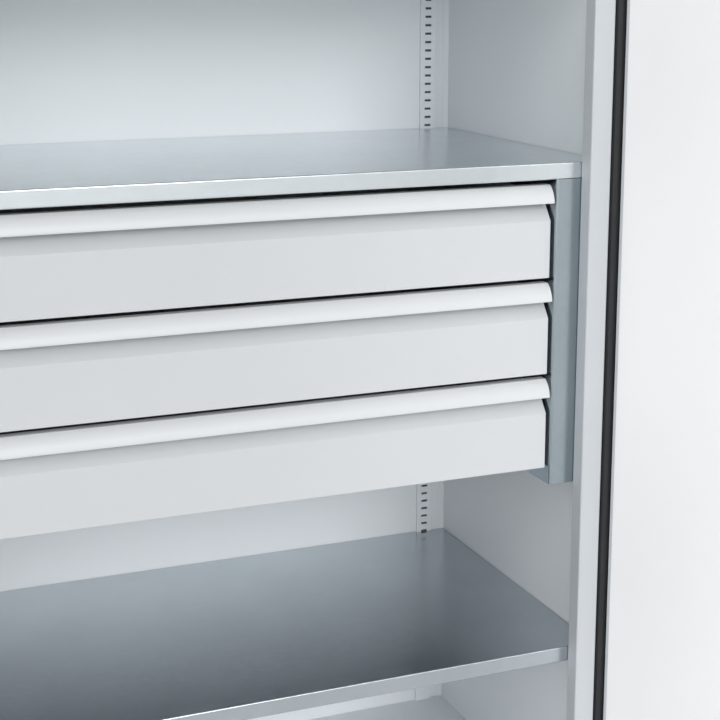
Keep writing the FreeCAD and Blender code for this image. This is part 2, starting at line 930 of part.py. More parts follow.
slide_start = tray_front + d.slide_play
slide_end = slide_start + d.drawer_length
inner_length = d.drawer_length - d.slide_play
middle_length = d.drawer_length - d.middle_shortfall
middle_web = d.carrier_inner - d.slide_gauge - d.slide_play
middle_half_height = d.slide_height / 2 - d.slide_gauge - d.slide_play
inner_half_height = middle_half_height - d.slide_gauge - d.slide_play


def slide_middle_height(level):
    return drawer_top(level) - d.front_height + d.slide_rise


def slide_outers():
    members = []
    for level in range(3):
        for side, hand in HANDS.items():
            members.append(
                slide_member(
                    f"slide_outer_{side}_{level + 1}",
                    hand,
                    d.carrier_inner,
                    d.slide_depth,
                    d.slide_height / 2,
                    slide_middle_height(level),
                    slide_start,
                    slide_end,
                )
            )
    return label(group("slide_outers", members), "slide_outers")


def slide_pair(kind, level, web, depth, half_height, length):
    members = [
        slide_member(
            f"slide_{kind}_{side}_{level + 1}",
            hand,
            web,
            depth,
            half_height,
            slide_middle_height(level),
            slide_start,
            slide_start + length,
        )
        for side, hand in HANDS.items()
    ]
    name = f"slide_{kind}s_{level + 1}"
    return label(group(name, members), name)


# Pivot bushes in the decks
def square(u, v, side):
    return rectangle(u - side / 2, v - side / 2, u + side / 2, v + side / 2)


def pivot_bushes():
    """Square bushes with a flange on the side of the door."""
    flange = d.door_play - d.bush_play
    members = []
    for side, hand in HANDS.items():
        for name, face, direction in (("top", cap_bottom, 1), ("bottom", d.base_height, -1)):
            body = new_body(f"bush_{name}_{side}")
            seat = face - flange * direction
            end = face + d.bush_length * direction
            middle = (pivot_x * hand, pivot_y)
            low, high = sorted((seat, face), key=lambda size: size.value)
            pad(body, "XY", square(*middle, d.bush_flange_side), low, high)
            low, high = sorted((face, end), key=lambda size: size.value)
            pad(body, "XY", square(*middle, d.bush_side), low, high)
            low, high = sorted((seat, end), key=lambda size: size.value)
            round_holes(body, "XY", [(*middle, d.pin_radius + d.pin_fit)], low, high)
            members.append(body)
    return label(group("pivot_bushes", members), "pivot_bushes")


# Doors, modelled closed and then turned open about their pins
def door_outer_skin(side, hand):
    """The outer pan: folded at both upright edges, with end walls."""
    fold_face = door_inner - d.liner_gauge
    path = mirrored(
        [
            (half - d.door_fold, fold_face),
            (half, fold_face),
            (half, door_outer),
            (d.door_meeting, door_outer),
            (d.door_meeting, fold_face),
            (d.door_meeting + d.door_fold, fold_face),
        ],
        hand,
    )
    name = f"door_{side}_outer"
    body = folded_sheet(name, "XY", path, d.skin_gauge, -hand, door_bottom, door_top)
    wall = d.skin_gauge
    ends = sorted(((d.door_meeting + wall) * hand, (half - wall) * hand), key=lambda size: size.value)
    end_wall = rectangle(ends[0], door_outer + wall, ends[1], fold_face - wall)
    pad(body, "XY", end_wall, door_bottom, door_bottom + wall)
    pad(body, "XY", end_wall, door_top - wall, door_top)
    corners = [path[i] for i in (1, 2, 3, 4)]
    round_edges(body, edges_along(body.Shape, "XY", corners), d.door_bend)
    return body


def round_holes(body, plane, holes, start, end):
    """Cuts round holes, given as their middle and radius, between two positions."""
    near = start if plane == "XZ" else end
    sketch = sketch_on(body, plane, near)
    for u, v, radius in holes:
        circle = Part.Circle(
            FreeCAD.Vector(u.value, v.value, 0), FreeCAD.Vector(0, 0, 1), radius.value
        )
        curve = sketch.addGeometry(circle, False)
        pin_point(sketch, curve, 3, u, v)
        number = sketch.addConstraint(Sketcher.Constraint("Radius", curve, radius.value))
        sketch.setExpression(f"Constraints[{number}]", radius.formula)
    feature = body.newObject("PartDesign::Pocket", f"{body.Name}_holes")
    feature.Profile = sketch
    bind(feature, "Length", as_size(end) - start)
    doc.recompute()
    return feature


def door_skins(side, hand):
    outer = door_outer_skin(side, hand)
    pin_hole = square(pivot_x * hand, pivot_y, (d.pin_radius + d.pin_fit) * 2)
    for start, end in (
        (door_bottom, door_bottom + d.skin_gauge),
        (door_top - d.skin_gauge, door_top),
    ):
        pocket(outer, "XY", [pin_hole], start, end)
    ends = sorted(
        ((d.door_meeting + d.inner_edge) * hand, (half - d.inner_edge) * hand), key=lambda size: size.value
    )
    inner = new_body(f"door_{side}_inner")
    plate = rectangle(ends[0], door_bottom + d.skin_gauge, ends[1], door_top - d.skin_gauge)
    pad(inner, "XZ", plate, door_inner - d.liner_gauge, door_inner)
    if side == "right":
        # One opening behind the escutcheon takes the shaft and the lock cylinder.
        reach = d.cylinder_radius + d.cutout_play
        opening = rectangle(
            lock_x - reach, d.lock_height - d.cylinder_drop - reach, lock_x + reach, d.lock_height + reach
        )
        pocket(outer, "XZ", [opening], door_outer, door_outer + d.skin_gauge)
        handle_hole = (lock_x, d.lock_height, d.shaft_radius + d.turning_play)
        round_holes(inner, "XZ", [handle_hole], door_inner - d.liner_gauge, door_inner)
    for body, name in ((outer, f"door_{side}_outer"), (inner, f"door_{side}_inner")):
        hinge_placement(label(body, name), hand)


def door_pins(side, hand):
    """A plate with a pin at the top and at the bottom of the door."""
    members = []
    low_y = door_outer + d.skin_gauge
    high_y = door_inner - d.liner_gauge - d.skin_gauge
    edge = half - d.skin_gauge
    ends = sorted(((edge - d.pin_plate_length) * hand, edge * hand), key=lambda size: size.value)
    reach = d.pin_plate_gauge + d.skin_gauge + d.door_play + d.bush_length
    for name, plate_low, pin_low in (
        ("top", door_top - d.skin_gauge - d.pin_plate_gauge, door_top - d.skin_gauge - d.pin_plate_gauge),
        ("bottom", door_bottom + d.skin_gauge, door_bottom + d.skin_gauge + d.pin_plate_gauge - reach),
    ):
        plate = block(
            f"pin_plate_{name}_{side}",
            (ends[0], low_y, plate_low),
            (ends[1], high_y, plate_low + d.pin_plate_gauge),
        )
        pin = doc.addObject("Part::Cylinder", f"pin_{name}_{side}")
        bind(pin, "Radius", d.pin_radius)
        bind(pin, "Height", reach)
        bind(pin, "Placement.Base.x", pivot_x * hand)
        bind(pin, "Placement.Base.y", pivot_y)
        bind(pin, "Placement.Base.z", pin_low)
        fused = doc.addObject("Part::Fuse", f"pivot_{name}_{side}")
        fused.Base = plate
        fused.Tool = pin
        members.append(fused)
    name = f"door_{side}_pins"
    return hinge_placement(label(group(name, members), name), hand)


# Lock of the right door
rod_low_y = door_inner + d.cam_standoff + d.cam_gauge + d.rod_play
peg_rise = d.peg_orbit * math.sin(math.radians(45))


def cylinder_y(name, u, v, radius, start, end):
    """A round bar along Y."""
    bar = doc.addObject("Part::Cylinder", name)
    bar.Placement = FreeCAD.Placement(
        FreeCAD.Vector(), FreeCAD.Rotation(FreeCAD.Vector(1, 0, 0), -90)
    )
    bind(bar, "Radius", radius)
    bind(bar, "Height", as_size(end) - start)
    bind(bar, "Placement.Base.x", u)
    bind(bar, "Placement.Base.y", start)
    bind(bar, "Placement.Base.z", v)
    return bar


def fuse(name, members):
    fused = doc.addObject("Part::MultiFuse", name)
    fused.Shapes = members
    return fused


def handle_base():
    """The escutcheon on the outside, with holes for the handle and the lock cylinder."""
    body = new_body("handle_base")
    edge = d.escutcheon_width / 2
    low = d.lock_height - d.escutcheon_bottom
    high = d.lock_height + d.escutcheon_top
    start = door_outer - d.escutcheon_depth
    pad(body, "XZ", rectangle(lock_x - edge, low, lock_x + edge, high), start, door_outer)
    holes = [
        (lock_x, d.lock_height, d.shaft_radius + d.turning_play),
        (lock_x, d.lock_height - d.cylinder_drop, d.cylinder_radius + d.turning_play),
    ]
    round_holes(body, "XZ", holes, start, door_outer)
    corners = [(lock_x - edge, low), (lock_x + edge, low), (lock_x + edge, high), (lock_x - edge, high)]
    round_edges(body, edges_along(body.Shape, "XZ", corners), d.escutcheon_depth)
    return hinge_placement(label(body, "handle_base"), 1)


def door_handle():
    """The tapered lever with its hub and shaft. It lies level when the rods are drawn in."""
    face = door_outer - d.escutcheon_depth - d.turning_play
    grip_front = face - d.lever_standoff - d.lever_gauge
    grip_rear = grip_front + d.lever_gauge
    shaft_end = door_inner + d.cam_standoff
    shaft = cylinder_y("handle_shaft", lock_x, d.lock_height, d.shaft_radius, face, shaft_end)
    hub = cylinder_y("handle_hub", lock_x, d.lock_height, d.hub_radius, grip_rear, face)
    tip_radius = d.lever_width / 2
    tip_middle = lock_x + d.lever_length - tip_radius
    grip = new_body("handle_grip")
    outline = [
        (lock_x, d.lock_height - d.hub_radius),
        (tip_middle, d.lock_height - tip_radius),
        (tip_middle, d.lock_height + tip_radius),
        (lock_x, d.lock_height + d.hub_radius),
    ]
    # A radius just over half the chord keeps each end a half round.
    arcs = {1: (tip_radius * 1.001, -1), 3: (d.hub_radius * 1.001, -1)}
    pad(grip, "XZ", outline, grip_front, grip_rear, arcs)
    base = grip.Tip
    bevel = grip.newObject("PartDesign::Chamfer", "grip_bevel")
    bevel.Base = (base, [name for name, box in edges_at_depth(grip.Shape, grip_front)])
    bind(bevel, "Size", d.lever_bevel)
    doc.recompute()
    return hinge_placement(label(fuse("door_handle", [shaft, hub, grip]), "door_handle"), 1)


def lock_cam():
    """A bar across the handle's shaft, with one peg for each rod."""
    start = door_inner + d.cam_standoff
    end = start + d.cam_gauge
    reach = (d.peg_orbit + d.cam_width / 2) / math.sqrt(2)
    edge = d.cam_width / 2 / math.sqrt(2)
    # The bar lies at 45 degrees, from the lower left to the upper right.
    outline = [
        (lock_x - reach + edge, d.lock_height - reach - edge),
        (lock_x + reach + edge, d.lock_height + reach - edge),
        (lock_x + reach - edge, d.lock_height + reach + edge),
        (lock_x - reach - edge, d.lock_height - reach + edge),
    ]
    bar = new_body("cam_bar")
    pad(bar, "XZ", outline, start, end)
    members = [bar]
    peg_end = rod_low_y + d.rod_gauge + d.rod_play
    for name, direction in (("upper", -1), ("lower", 1)):
        members.append(
            cylinder_y(
                f"cam_peg_{name}",
                lock_x + peg_rise * direction,
                d.lock_height + peg_rise * direction,
                d.peg_radius,
                end,
                peg_end,
            )
        )
    return hinge_placement(label(fuse("lock_cam", members), "lock_cam"), 1)


def lock_rod(name, direction, rod_end):
    """A flat rod with a slotted eye: direction is 1 for the upper rod and -1 for the lower one."""
    middle = lock_x - d.peg_orbit * direction
    eye = d.lock_height - peg_rise * direction
    start = rod_low_y
    end = rod_low_y + d.rod_gauge
    body = new_body(name)
    edge = d.rod_width / 2
    wide = d.eye_width / 2
    tall = d.eye_height / 2
    outline = [
        (middle - wide, eye - tall * direction),
        (middle + wide, eye - tall * direction),
        (middle + wide, eye + tall * direction),
        (middle + edge, eye + tall * direction),
        (middle + edge, rod_end),
        (middle - edge, rod_end),
        (middle - edge, eye + tall * direction),
        (middle - wide, eye + tall * direction),
    ]
    pad(body, "XZ", outline, start, end)
    clear = d.peg_radius + d.peg_play
    inward = d.peg_orbit - peg_rise
    near = middle - clear * direction
    far = middle + (inward + clear) * direction
    slot_ends = sorted((near, far), key=lambda size: size.value)
    slot = rectangle(slot_ends[0], eye - clear, slot_ends[1], eye + clear)
    pocket(body, "XZ", [slot], start, end)
    return hinge_placement(label(body, name), 1)


def lock_case():
    """The cover over the cam on the inside, with a slot for each rod."""
    body = new_body("lock_case")
    edge = d.case_width / 2
    tall = d.case_height / 2
    wall = d.case_gauge
    end = door_inner + d.case_depth
    pad(
        body,
        "XZ",
        rectangle(lock_x - edge, d.lock_height - tall, lock_x + edge, d.lock_height + tall),
        door_inner,
        end,
    )
    hollow = rectangle(
        lock_x - edge + wall,
        d.lock_height - tall + wall,
        lock_x + edge - wall,
        d.lock_height + tall - wall,
    )
    pocket(body, "XZ", [hollow], door_inner, end - wall)
    for direction in (1, -1):
        middle = lock_x - d.peg_orbit * direction
        low = d.lock_height + tall * direction
        ends = sorted((low, low - wall * direction), key=lambda size: size.value)
        slot = rectangle(
            middle - d.rod_width / 2 - d.rod_play,
            door_inner,
            middle + d.rod_width / 2 + d.rod_play,
            rod_low_y + d.rod_gauge + d.rod_play,
        )
        pocket(body, "XY", [slot], *ends)
    return hinge_placement(label(body, "lock_case"), 1)


def rod_guides():
    """Two staples for each rod, on the inner skin."""
    members = []
    for name, direction, rod_end in (("upper", 1, opening_top), ("lower", -1, opening_bottom)):
        middle = lock_x - d.peg_orbit * direction
        for number in range(2):
            height = rod_end - (d.guide_inset + d.guide_spacing * number) * direction
            edge = d.guide_width / 2
            inside = d.rod_width / 2 + d.turning_play
            outer_y = rod_low_y + d.rod_gauge + d.turning_play + d.guide_wall
            outline = [
                (middle - edge, door_inner),
                (middle - inside, door_inner),
                (middle - inside, outer_y - d.guide_wall),
                (middle + inside, outer_y - d.guide_wall),
                (middle + inside, door_inner),
                (middle + edge, door_inner),
                (middle + edge, outer_y),
                (middle - edge, outer_y),
            ]
            body = new_body(f"guide_{name}_{number + 1}")
            pad(body, "XY", outline, height - d.guide_height / 2, height + d.guide_height / 2)
            members.append(body)
    return hinge_placement(label(group("rod_guides", members), "rod_guides"), 1)


def lock_cylinder():
    """The cylinder under the handle, with a key slot across its face."""
    face = door_outer - d.escutcheon_depth - d.cylinder_proud
    height = d.lock_height - d.cylinder_drop
    barrel = cylinder_y("cylinder_barrel", lock_x, height, d.cylinder_radius, face, face + d.cylinder_length)
    slot = block(
        "key_slot",
        (lock_x - d.cylinder_radius / 8, face - 1, height - d.cylinder_radius / 2),
        (lock_x + d.cylinder_radius / 8, face + d.cylinder_length / 2, height + d.cylinder_radius / 2),
    )
    cut = doc.addObject("Part::Cut", "lock_cylinder")
    cut.Base = barrel
    cut.Tool = slot
    return hinge_placement(label(cut, "lock_cylinder"), 1)


def door_astragal():
    """The strip on the left door that the right door closes on."""
    start = door_inner + d.astragal_play
    end = start + d.astragal_gauge
    edge = d.astragal_width / 2
    body = new_body("door_astragal")
    low = opening_bottom + d.astragal_inset
    high = opening_top - d.astragal_inset
    fixing = -(d.door_meeting + d.astragal_play)
    outline = [
        (-edge, door_inner),
        (fixing, door_inner),
        (fixing, start),
        (edge, start),
        (edge, end),
        (-edge, end),
    ]
    pad(body, "XY", outline, low, high)
    return hinge_placement(label(body, "door_astragal"), -1)


for side, hand in HANDS.items():
    side_panel(side, hand)
    side_liner(side, hand)
    front_post(side, hand)
    slot_strip(side, hand)
    drawer_carrier(side, hand)
    door_skins(side, hand)
    door_pins(side, hand)
back_panel()
level_panel("ceiling_panel", opening_top, cap_bottom, 1)
level_panel("floor_panel", opening_bottom, d.base_height, -1)
frame_rail("top_rail", cap_bottom, -1)
frame_rail("bottom_rail", d.base_height, 1)
seal_seat()
door_seal()
top_cap()
deck("top_deck", cap_bottom, cap_bottom + d.base_gauge)
deck("base_deck", d.base_height - d.base_gauge, d.base_height)
base_frame()
base_crossmember()
shelf("shelf_upper", upper_shelf_top)
shelf("shelf_middle", middle_shelf_top)
shelf("shelf_lower", lower_shelf_top)
shelf_clips()
carrier_ties()
slide_outers()
for level in range(3):
    drawer_front(level)
    drawer_handle(level)
    drawer_tray(level)
    slide_pair("middle", level, middle_web, d.middle_depth, middle_half_height, middle_length)
    slide_pair("inner", level, tray_half, -d.inner_depth, inner_half_height, inner_length)
pivot_bushes()
handle_base()
door_handle()
lock_cam()
lock_rod("lock_rod_upper", 1, opening_top - d.rod_end_gap)
lock_rod("lock_rod_lower", -1, opening_bottom + d.rod_end_gap)
lock_case()
rod_guides()
lock_cylinder()
door_astragal()
doc.recompute()

for item in doc.Objects:
    if "Invalid" in item.State or "Error" in item.State:
        raise RuntimeError(f"{item.Name} failed: {item.State}")
for node in nodes:
    if node.Shape.isNull() or not node.Shape.isValid():
        raise RuntimeError(f"{node.Label} has no sound shape")

os.makedirs("parts", exist_ok=True)
for node in nodes:
    node.Shape.exportStep(f"parts/{node.Label}.step")
    print(f"{node.Label}: {len(node.Shape.Solids)} solids, {node.Shape.Volume / 1000:.1f} cm3")
print(f"{len(nodes)} nodes")
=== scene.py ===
"""Looks for the storage cabinet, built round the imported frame.

Lengths are in metres, colours are sRGB values from 0 to 255, and the scale of a texture is
its number of features for each metre.
"""

import json
import math

import bmesh
import bpy
from mathutils import Matrix, Vector


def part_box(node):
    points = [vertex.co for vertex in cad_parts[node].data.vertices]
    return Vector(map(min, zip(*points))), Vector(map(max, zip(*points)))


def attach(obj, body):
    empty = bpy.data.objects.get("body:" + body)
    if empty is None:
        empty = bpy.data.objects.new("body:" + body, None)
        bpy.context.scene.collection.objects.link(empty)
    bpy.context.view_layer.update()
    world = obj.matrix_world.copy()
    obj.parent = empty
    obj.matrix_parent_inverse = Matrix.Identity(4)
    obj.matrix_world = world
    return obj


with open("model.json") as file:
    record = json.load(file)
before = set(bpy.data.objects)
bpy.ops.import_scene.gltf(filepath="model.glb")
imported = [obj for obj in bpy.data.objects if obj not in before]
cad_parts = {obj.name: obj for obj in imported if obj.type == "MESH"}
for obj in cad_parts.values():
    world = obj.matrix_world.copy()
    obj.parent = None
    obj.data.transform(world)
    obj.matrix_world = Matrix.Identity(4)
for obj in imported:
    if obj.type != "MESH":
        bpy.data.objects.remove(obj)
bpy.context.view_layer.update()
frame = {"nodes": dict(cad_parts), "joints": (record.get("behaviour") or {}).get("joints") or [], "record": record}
scene = bpy.context.scene


# Shader nodes
def linear(red, green, blue):
    """An sRGB colour as Blender's linear one."""
    out = []
    for value in (red, green, blue):
        share = value / 255
        out.append(share / 12.92 if share <= 0.04045 else ((share + 0.055) / 1.055) ** 2.4)
    return (*out, 1.0)


def add(tree, kind, **values):
    """A shader node with its inputs and properties set by name."""
    node = tree.nodes.new(kind)
    for name, value in values.items():
        if name in node.inputs:
            node.inputs[name].default_value = value
        else:
            setattr(node, name, value)
    return node


def noise(tree, place, scale, detail=2.0, roughness=0.5):
    node = add(tree, "ShaderNodeTexNoise", Scale=scale, Detail=detail, Roughness=roughness)
    tree.links.new(place, node.inputs["Vector"])
    return node.outputs["Fac"]


def spread(tree, source, low, high):
    """Maps noise, which lies mostly from 0.3 to 0.7, to a range."""
    node = tree.nodes.new("ShaderNodeMapRange")
    node.inputs["From Min"].default_value = 0.3
    node.inputs["From Max"].default_value = 0.7
    node.inputs["To Min"].default_value = low
    node.inputs["To Max"].default_value = high
    tree.links.new(source, node.inputs["Value"])
    return node.outputs["Result"]


def mixed(tree, factor, first, second):
    """Goes from the first colour to the second. The first may be the output of a node."""
    node = add(tree, "ShaderNodeMix", data_type="RGBA", B=second)
    if isinstance(first, bpy.types.NodeSocket):
        tree.links.new(first, node.inputs["A"])
    else:
        node.inputs["A"].default_value = first
    tree.links.new(factor, node.inputs["Factor"])
    return node.outputs["Result"]


def cloudy(tree, source, shade, colour):
    """A colour that drifts between two tones with a noise."""
    return mixed(tree, spread(tree, source, 0.0, 1.0), linear(*shade), linear(*colour))


def zone(tree, place, axis, limit):
    """One beyond a limit along Y, or beyond it on both sides along X."""
    split = tree.nodes.new("ShaderNodeSeparateXYZ")
    tree.links.new(place, split.inputs["Vector"])
    reach = split.outputs[axis]
    if axis == "X":
        distance = add(tree, "ShaderNodeMath", operation="ABSOLUTE")
        tree.links.new(reach, distance.inputs[0])
        reach = distance.outputs[0]
    test = add(tree, "ShaderNodeMath", operation="GREATER_THAN")
    test.inputs[1].default_value = limit
    tree.links.new(reach, test.inputs[0])
    return test.outputs[0]


def finish_surface(tree, shader, source, depth, edge_radius):
    """Bumps of a depth, over edges that look rounded."""
    round_edge = add(tree, "ShaderNodeBevel", samples=6, Radius=edge_radius)
    relief = add(tree, "ShaderNodeBump", Strength=1.0, Distance=depth)
    tree.links.new(source, relief.inputs["Height"])
    tree.links.new(round_edge.outputs["Normal"], relief.inputs["Normal"])
    tree.links.new(relief.outputs["Normal"], shader.inputs["Normal"])


def start_material(name):
    """A new material with its node tree, its shader and the place on the object."""
    material = bpy.data.materials.new(name)
    material.use_nodes = True
    tree = material.node_tree
    shader = tree.nodes["Principled BSDF"]
    place = tree.nodes.new("ShaderNodeTexCoord").outputs["Object"]
    return material, tree, shader, place


# Materials
SHEET_EDGE = 0.0006
MOULDED_EDGE = 0.0005
SMALL_EDGE = 0.0003
PEEL_DEPTH = 0.00002
ZINC_DEPTH = 0.000006
PLATE_DEPTH = 0.000004
CHROME_DEPTH = 0.000002
RUBBER_DEPTH = 0.00001
PLASTIC_DEPTH = 0.00002
PAINT_GLOSS = 0.42
MOULDED_GLOSS = 0.35


def powder_coat(name, colour, shade, rough=0.42, zones=()):
    """Satin powder coat: a fine orange peel over a colour that drifts a little.

    Each zone is an axis, a limit and the colour beyond it.
    """
    material, tree, shader, place = start_material(name)
    drift = noise(tree, place, 2.2, detail=3.0)
    colour_out = cloudy(tree, drift, shade, colour)
    for axis, limit, beyond in zones:
        inside_zone = zone(tree, place, axis, limit)
        colour_out = mixed(tree, inside_zone, colour_out, linear(*beyond))
    tree.links.new(colour_out, shader.inputs["Base Color"])
    grain = noise(tree, place, 420, detail=3.0, roughness=0.6)
    tree.links.new(spread(tree, grain, rough - 0.04, rough + 0.05), shader.inputs["Roughness"])
    shader.inputs["Specular IOR Level"].default_value = PAINT_GLOSS
    peel = noise(tree, place, 700)
    finish_surface(tree, shader, peel, PEEL_DEPTH, SHEET_EDGE)
    return material


def galvanised(name, colour, shade):
    """Smooth zinc-coated sheet with faint spangles and blurred reflections."""
    material, tree, shader, place = start_material(name)
    cells = add(tree, "ShaderNodeTexVoronoi", Scale=110)
    tree.links.new(place, cells.inputs["Vector"])
    cloud = noise(tree, place, 9, detail=4.0)
    tree.links.new(cloudy(tree, cloud, shade, colour), shader.inputs["Base Color"])
    shader.inputs["Metallic"].default_value = 1.0
    crystal = tree.nodes.new("ShaderNodeSeparateColor")
    tree.links.new(cells.outputs["Color"], crystal.inputs["Color"])
    tree.links.new(spread(tree, crystal.outputs["Red"], 0.21, 0.25), shader.inputs["Roughness"])
    fine = noise(tree, place, 900)
    finish_surface(tree, shader, fine, ZINC_DEPTH, SHEET_EDGE)
    return material


def bright_zinc(name, colour, shade):
    """Zinc plate on small steel pieces."""
    material, tree, shader, place = start_material(name)
    cloud = noise(tree, place, 30, detail=3.0)
    tree.links.new(cloudy(tree, cloud, shade, colour), shader.inputs["Base Color"])
    shader.inputs["Metallic"].default_value = 1.0
    tree.links.new(spread(tree, cloud, 0.26, 0.34), shader.inputs["Roughness"])
    fine = noise(tree, place, 1400)
    finish_surface(tree, shader, fine, PLATE_DEPTH, SMALL_EDGE)
    return material


def chrome(name, colour, shade):
    """Polished plate, with a tone that varies less than that of zinc."""
    material, tree, shader, place = start_material(name)
    cloud = noise(tree, place, 120, detail=3.0)
    colour_out = mixed(tree, cloud, linear(*shade), linear(*colour))
    tree.links.new(colour_out, shader.inputs["Base Color"])
    shader.inputs["Metallic"].default_value = 1.0
    tree.links.new(spread(tree, cloud, 0.08, 0.16), shader.inputs["Roughness"])
    fine = noise(tree, place, 1500)
    finish_surface(tree, shader, fine, CHROME_DEPTH, SMALL_EDGE)
    return material


def moulded(name, colour, shade, rough, depth):
    """Moulded plastic or rubber with a fine surface."""
    material, tree, shader, place = start_material(name)
    cloud = noise(tree, place, 14, detail=4.0)
    tree.links.new(cloudy(tree, cloud, shade, colour), shader.inputs["Base Color"])
    grain = noise(tree, place, 1500)
    tree.links.new(spread(tree, grain, rough - 0.05, rough + 0.05), shader.inputs["Roughness"])
    shader.inputs["Specular IOR Level"].default_value = MOULDED_GLOSS
    finish_surface(tree, shader, grain, depth, MOULDED_EDGE)
    return material


BODY = (185, 189, 193)
BODY_SHADE = (182, 186, 190)
# The liner colours are painted light: the inside has the body's paint, and this lighter copy stands in for the
# light that falls inside the cabinet.
LINER_PAINTED_LIGHT = (230, 234, 237)
LINER_PAINTED_LIGHT_DRIFT = (227, 231, 234)
# The dark colour below is painted shadow, put behind the slot strips so that the slots read dark.
SLOT_PAINTED_SHADOW = (96, 99, 103)

materials = {
    "body_paint": powder_coat("body_paint", BODY, BODY_SHADE),
    "base_paint": powder_coat("base_paint", BODY, BODY_SHADE),
    "drawer_paint": powder_coat("drawer_paint", (198, 201, 204), (195, 198, 201)),
    "handle_paint": powder_coat("handle_paint", (206, 209, 211), (203, 206, 208), rough=0.38),
    "door_paint": powder_coat("door_paint", (247, 247, 247), (245, 245, 245)),
    "galvanised": galvanised("galvanised", (220, 227, 230), (214, 221, 224)),
    "zinc_steel": bright_zinc("zinc_steel", (208, 210, 212), (190, 194, 200)),
    "seal_rubber": moulded("seal_rubber", (38, 39, 41), (34, 35, 37), 0.6, RUBBER_DEPTH),
    "bush_plastic": moulded("bush_plastic", (52, 53, 55), (48, 49, 51), 0.45, RUBBER_DEPTH),
    "lock_plastic": moulded("lock_plastic", (60, 62, 64), (56, 58, 60), 0.42, PLASTIC_DEPTH),
    "lock_chrome": chrome("lock_chrome", (218, 218, 219), (205, 206, 208)),
}

# The back panel has painted shadow behind the slot strips, a dark colour seen through the slots,
# the liner's painted light beyond the strips, and the body's colour on its rear face. Each limit lies just inside
# the edge of the piece that it follows.
STRIP_OVERLAP = 0.001
REAR_OVERLAP = 0.0005
strip_low, strip_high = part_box("slot_strip_right")
back_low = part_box("back_panel")[0]
back_zones = [
    ("X", strip_low[0] + STRIP_OVERLAP, SLOT_PAINTED_SHADOW),
    ("X", strip_high[0] - STRIP_OVERLAP, LINER_PAINTED_LIGHT_DRIFT),
    ("Y", back_low[1] + REAR_OVERLAP, BODY),
]

# Pieces that look different from the rest of their material slot, several of them with painted light or painted
# shade
# The liner pieces carry painted light, a lighter copy of the body paint.
liner_painted_light = powder_coat("liner_painted_light", LINER_PAINTED_LIGHT, LINER_PAINTED_LIGHT_DRIFT)
# The back panel has the liner's painted light, painted shadow behind the slot strips and the body's colour at the
# rear.
back_painted_light_and_shadow = powder_coat("back_painted_light_and_shadow", LINER_PAINTED_LIGHT, LINER_PAINTED_LIGHT_DRIFT, zones=back_zones)
outer_paint = powder_coat("door_outer_paint", (205, 209, 213), (202, 206, 210))
# The carriers carry painted shade: a darker copy of the galvanised sheet that stands in for the darker reflections
# on them.
carrier_zinc_painted_shade = galvanised("carrier_zinc_painted_shade", (166, 176, 182), (160, 171, 177))
# The lower shelf carries painted shade: a darker copy of the galvanised sheet for the weaker light in the lower
# compartment.
lower_shelf_zinc_painted_shade = galvanised("lower_shelf_zinc_painted_shade", (194, 201, 206), (188, 195, 200))
own_looks = {
    "side_liner_left": liner_painted_light,
    "side_liner_right": liner_painted_light,
    "back_panel": back_painted_light_and_shadow,
    "slot_strip_left": liner_painted_light,
    "slot_strip_right": liner_painted_light,
    "ceiling_panel": liner_painted_light,
    "floor_panel": liner_painted_light,
    "door_left_outer": outer_paint,
    "door_right_outer": outer_paint,
    "drawer_carrier_left": carrier_zinc_painted_shade,
    "drawer_carrier_right": carrier_zinc_painted_shade,
    "carrier_ties": carrier_zinc_painted_shade,
    "shelf_lower": lower_shelf_zinc_painted_shade,
}
for part in frame["record"]["subparts"]:
    node = frame["nodes"][part["node"]]
    for slot in node.material_slots:
        slot.material = own_looks.get(part["node"], materials[part["material_slot"]])


# Screws and rivets
HEAD_SIDES = 24
HEAD_ANGLES = [2 * math.pi * index / HEAD_SIDES for index in range(HEAD_SIDES)]
# The dome of a head, as shares of its radius and of its height
DOME = [(1.0, 0.0), (1.0, 0.18), (0.93, 0.5), (0.78, 0.82), (0.6, 1.0)]
SOCKET_FLOOR = 0.35


def hex_radius(angle, radius):
    """How far a hexagon's edge is from its middle, where radius reaches its corners."""
    part = (angle + math.pi / 6) % (math.pi / 3) - math.pi / 6
    return radius * math.cos(math.pi / 6) / math.cos(part)


def ring(work, x, y, z, reaches):
    """Points round a line along Y, with one reach for each of the head's angles."""
    points = []
    for angle, reach in zip(HEAD_ANGLES, reaches):
        points.append(work.verts.new((x + reach * math.cos(angle), y, z + reach * math.sin(angle))))
    return points


def heads(name, places, radius, height, placement, socket=0.0):
    """Domed heads that face along +Y, with a hexagon socket where one is asked for."""
    hexagon = [hex_radius(angle, socket) for angle in HEAD_ANGLES]
    mesh = bpy.data.meshes.new(name)
    work = bmesh.new()
    for x, y, z in places:
        loops = []
        for share, rise in DOME:
            loops.append(ring(work, x, y + rise * height, z, [share * radius] * HEAD_SIDES))
        if socket:
            for depth in (height, height * SOCKET_FLOOR):
                loops.append(ring(work, x, y + depth, z, hexagon))
        for first, second in zip(loops, loops[1:]):
            for index in range(HEAD_SIDES):
                after = (index + 1) % HEAD_SIDES
                work.faces.new((first[index], first[after], second[after], second[index]))
        work.faces.new(loops[0])
        work.faces.new(loops[-1])
    bmesh.ops.recalc_face_normals(work, faces=work.faces)
    work.to_mesh(mesh)
    work.free()
    mesh.transform(placement)
    for face in mesh.polygons:
        face.use_smooth = len(face.vertices) == 4
    item = bpy.data.objects.new(name, mesh)
    scene.collection.objects.link(item)
    mesh.materials.append(materials["zinc_steel"])
    return item


def door_turn(joint_name):
    """Turns a point of the shut door to where the open door has it at rest."""
    joint = next(row for row in frame["joints"] if row["name"] == joint_name)
    pivot = Vector(joint["pos_m"])
    opened = math.radians(-joint["range_deg"][0]) * joint["axis"][2]
    return Matrix.Translation(pivot) @ Matrix.Rotation(opened, 4, "Z") @ Matrix.Translation(-pivot)


